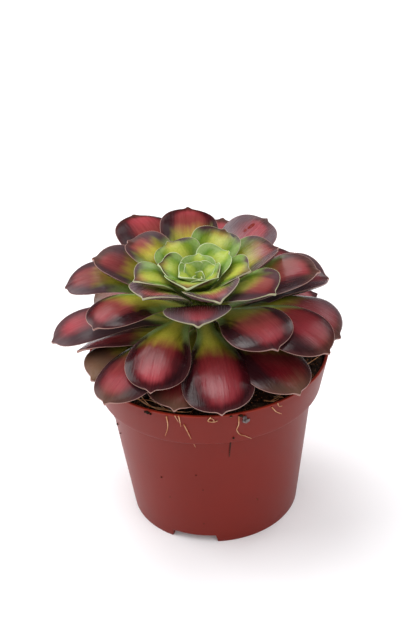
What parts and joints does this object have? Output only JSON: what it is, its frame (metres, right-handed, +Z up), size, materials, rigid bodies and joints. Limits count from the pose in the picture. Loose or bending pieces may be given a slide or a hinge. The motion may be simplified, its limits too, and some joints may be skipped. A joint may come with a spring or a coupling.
{
  "type": "potted aeonium",
  "caption": "Aeonium rosette of fleshy dark red and green leaves on a short leaning stem, in a round terracotta-coloured plastic nursery pot with soil.",
  "frame": {"origin": "middle of the pot's foot, on the centre pad's face that touches the surface the pot stands on", "axes": "+Z up along the pot's axis, -Y towards the side that the rosette leans to, +X to the right seen from there"},
  "size_m": [0.1236, 0.1248, 0.125],
  "materials": {
    "pot": "satin terracotta-coloured moulded plastic with light dust and dirt",
    "soil": "moist dark potting compost with fibres and grit",
    "stem": "living green-brown succulent stem with leaf scars",
    "heart_leaf": "waxy living leaf, green with a yellow middle and pale edges",
    "middle_leaf": "waxy living leaf, green at the neck turning orange-red and maroon",
    "outer_leaf": "glossy waxy living leaf, dark maroon with a crimson middle and a thin pale edge"
  },
  "bodies": {
    "root": {"pot": "pot", "soil": "soil", "stem": "stem", "heart": "heart_leaf", "leaf_01": "middle_leaf", "leaf_02": "middle_leaf", "leaf_03": "middle_leaf", "leaf_04": "middle_leaf", "leaf_05": "middle_leaf", "leaf_06": "middle_leaf", "leaf_07": "middle_leaf", "leaf_08": "middle_leaf", "leaf_09": "outer_leaf", "leaf_10": "outer_leaf", "leaf_11": "outer_leaf", "leaf_12": "outer_leaf", "leaf_13": "outer_leaf", "leaf_14": "outer_leaf", "leaf_15": "outer_leaf", "leaf_16": "outer_leaf", "leaf_17": "outer_leaf", "leaf_18": "outer_leaf", "leaf_19": "outer_leaf", "leaf_20": "outer_leaf", "leaf_21": "outer_leaf", "leaf_22": "outer_leaf", "leaf_23": "outer_leaf", "leaf_24": "outer_leaf", "leaf_25": "outer_leaf", "leaf_26": "outer_leaf", "leaf_27": "outer_leaf", "leaf_28": "outer_leaf", "leaf_29": "outer_leaf", "leaf_30": "outer_leaf", "leaf_31": "outer_leaf", "leaf_32": "outer_leaf", "leaf_33": "outer_leaf", "leaf_34": "outer_leaf", "leaf_35": "outer_leaf", "leaf_36": "outer_leaf", "leaf_37": "outer_leaf"}
  },
  "joints": []
}
